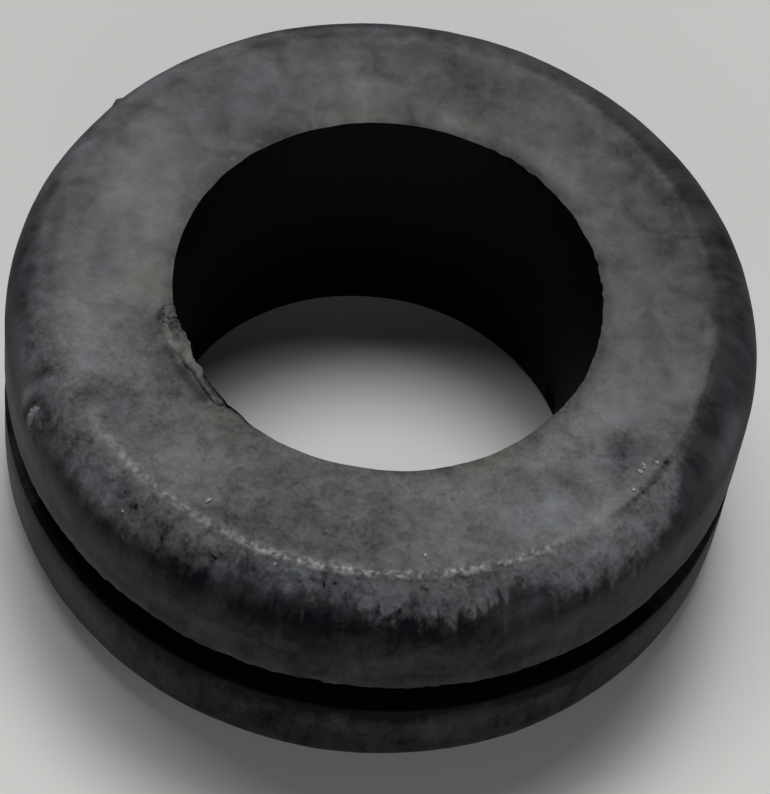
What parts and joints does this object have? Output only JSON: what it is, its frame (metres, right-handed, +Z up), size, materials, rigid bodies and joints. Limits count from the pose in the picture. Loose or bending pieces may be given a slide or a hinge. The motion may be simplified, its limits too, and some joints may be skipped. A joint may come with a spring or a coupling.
{
  "type": "rubber grommet",
  "caption": "Round black rubber bush with a plain bore for a cable and a groove round its middle that grips the edge of a panel hole.",
  "frame": {"origin": "centre of the lower flat face, on the axis of the bore", "axes": "+Z up along the bore's axis, from the lower flange to the upper flange"},
  "size_m": [0.0226, 0.0224, 0.0092],
  "materials": {
    "rubber": "matt moulded rubber with a grey bloom on the flat faces and darker, rubbed shoulders"
  },
  "bodies": {
    "root": {"grommet": "rubber"}
  },
  "joints": []
}
